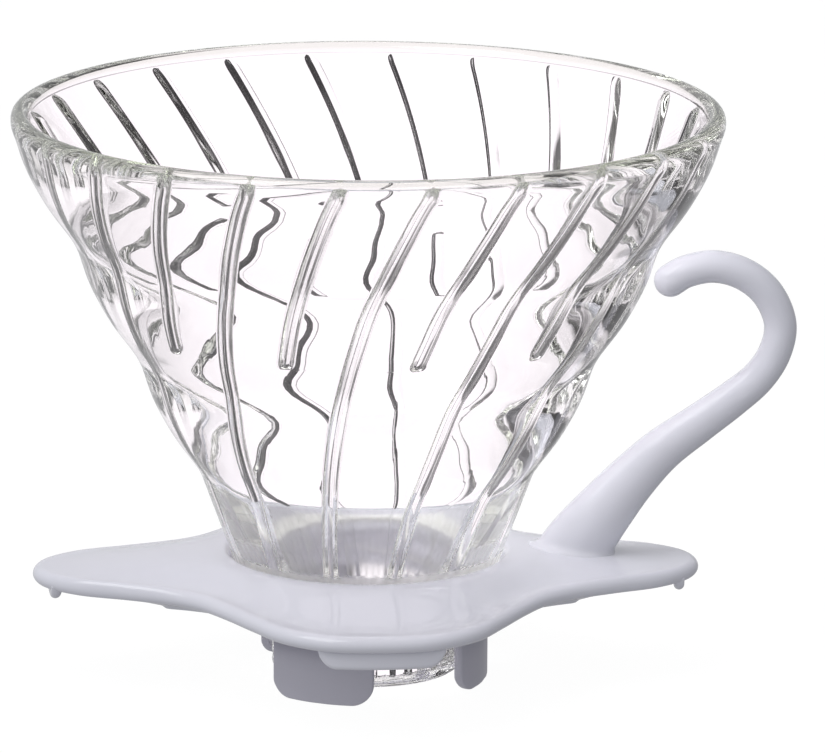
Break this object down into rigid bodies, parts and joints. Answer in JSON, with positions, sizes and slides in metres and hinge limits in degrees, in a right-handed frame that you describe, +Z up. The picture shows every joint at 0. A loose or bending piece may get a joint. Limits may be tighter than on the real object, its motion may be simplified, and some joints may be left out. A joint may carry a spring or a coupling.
{
  "type": "pour over dripper",
  "caption": "Conical pour-over coffee dripper: clear ribbed glass cone held by a threaded lock ring in a white lobed plastic holder with a curled handle.",
  "frame": {"origin": "centre of the bounding box, on the plane that the three finger tabs stand on; the cone's axis is at x = -6.4 mm, y = 0", "axes": "+Z up along the cone's axis, +X towards the curled handle, -Y towards the front lobe"},
  "size_m": [0.1319, 0.119, 0.0979],
  "materials": {
    "heatproof_glass": "clear, fire-polished, faint green edge",
    "white_polypropylene": "glossy injection moulding",
    "white_ring_plastic": "glossy injection moulding",
    "clear_silicone": "satin, translucent"
  },
  "bodies": {
    "holder": {"holder": "white_polypropylene", "seal_ring": "clear_silicone"},
    "glass": {"glass_cone": "heatproof_glass"},
    "lock_ring": {"lock_ring": "white_ring_plastic"}
  },
  "joints": [
    {"name": "ring_turn", "type": "hinge", "parent": "holder", "child": "lock_ring", "pos_m": [-0.0064, 0, 0.0124], "axis": [0, 0, -1], "range_deg": [0, 180]},
    {"name": "glass_lift", "type": "slide", "parent": "holder", "child": "glass", "axis": [0, 0, 1], "range_m": [0, 0.006]}
  ],
  "couplings": [
    {"joint": "glass_lift", "follows": "ring_turn", "m_per_rad": 0.0019099}
  ]
}
